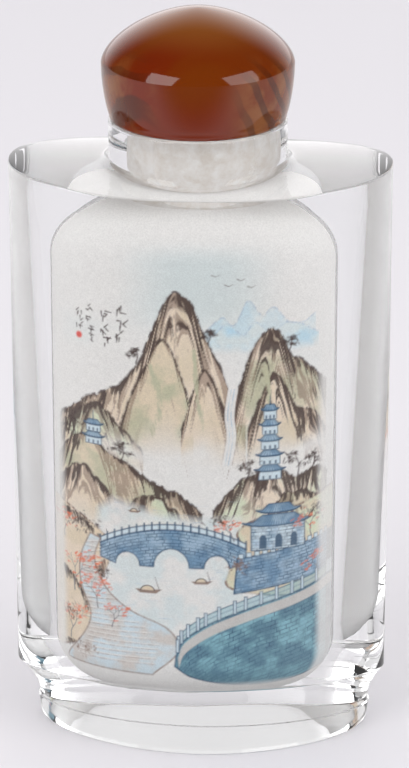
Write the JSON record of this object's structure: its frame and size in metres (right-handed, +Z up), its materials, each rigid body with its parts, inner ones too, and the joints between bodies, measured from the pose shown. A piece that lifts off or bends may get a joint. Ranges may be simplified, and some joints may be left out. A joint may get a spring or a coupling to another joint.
{
  "type": "snuff bottle",
  "caption": "Oval clear glass snuff bottle with a picture painted on its inner wall, a short round neck, an oval foot and a domed agate stopper.",
  "frame": {"origin": "centre of the flat underside of the foot", "axes": "+X across the broad faces, +Y through the thickness towards the back, +Z up along the bore"},
  "size_m": [0.046, 0.0264, 0.0914],
  "materials": {
    "clear_glass": "polished",
    "agate": "polished, translucent amber brown",
    "inner_painting": "thin paint on ground glass, seen through the clear wall"
  },
  "bodies": {
    "root": {"bottle": "clear_glass", "stopper": "agate"}
  },
  "joints": []
}
